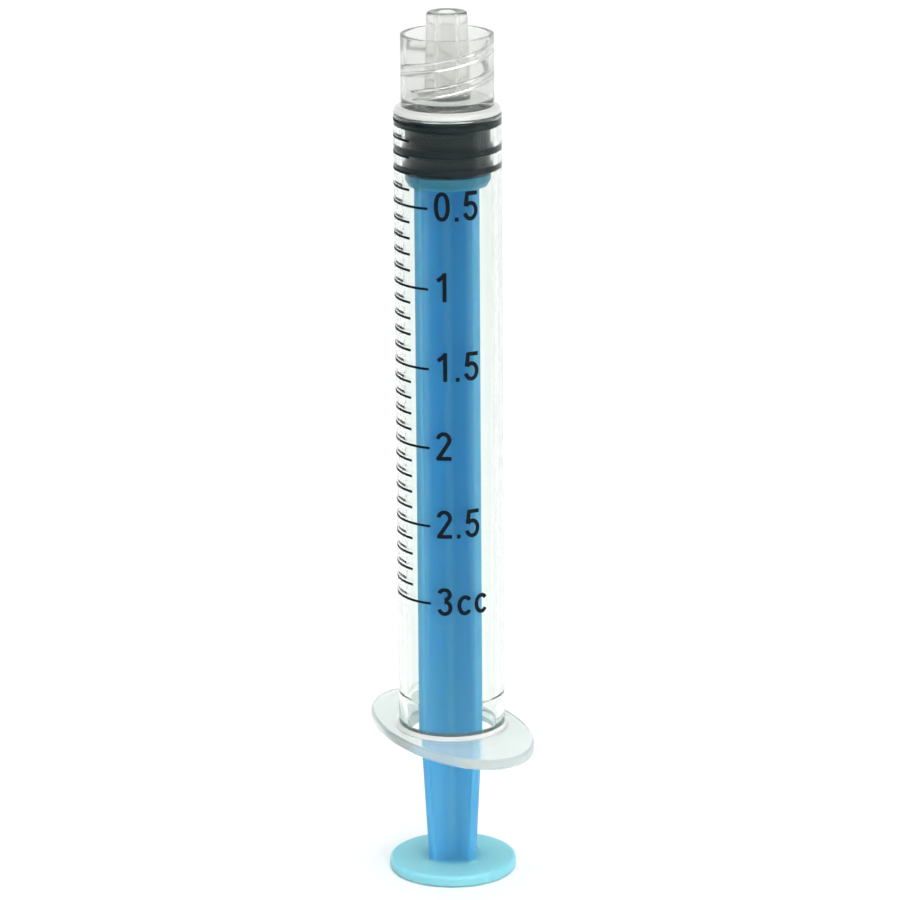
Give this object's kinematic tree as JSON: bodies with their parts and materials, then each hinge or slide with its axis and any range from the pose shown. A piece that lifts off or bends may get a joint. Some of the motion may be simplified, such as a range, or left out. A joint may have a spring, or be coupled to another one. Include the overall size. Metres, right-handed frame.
{
  "type": "luer lock syringe",
  "caption": "Clear 3 ml syringe with a threaded Luer lock nozzle, oval finger flange, ribbed rubber stopper and sliding blue plunger rod.",
  "frame": {"origin": "bottom centre of the thumb rest, on which the syringe stands, with the plunger fully in", "axes": "+Z along the barrel towards the nozzle, +X along one wing of the finger flange, +Y across the flange"},
  "size_m": [0.0244, 0.0136, 0.0878],
  "materials": {
    "barrel_clear": "clear polypropylene, polished tube and slightly frosted collar",
    "rod_blue": "translucent blue polypropylene, satin",
    "stopper_rubber": "black rubber with a silicone sheen"
  },
  "bodies": {
    "plunger": {"plunger_rod": "rod_blue"},
    "stopper": {"stopper": "stopper_rubber"},
    "barrel": {"barrel": "barrel_clear"}
  },
  "joints": [
    {"name": "rod_turn", "type": "hinge", "parent": "plunger", "child": "stopper", "pos_m": [0, 0, 0.0722], "axis": [0, 0, 1], "continuous": true},
    {"name": "plunger_slide", "type": "slide", "parent": "stopper", "child": "barrel", "axis": [0, 0, 1], "range_m": [0, 0.053]}
  ]
}
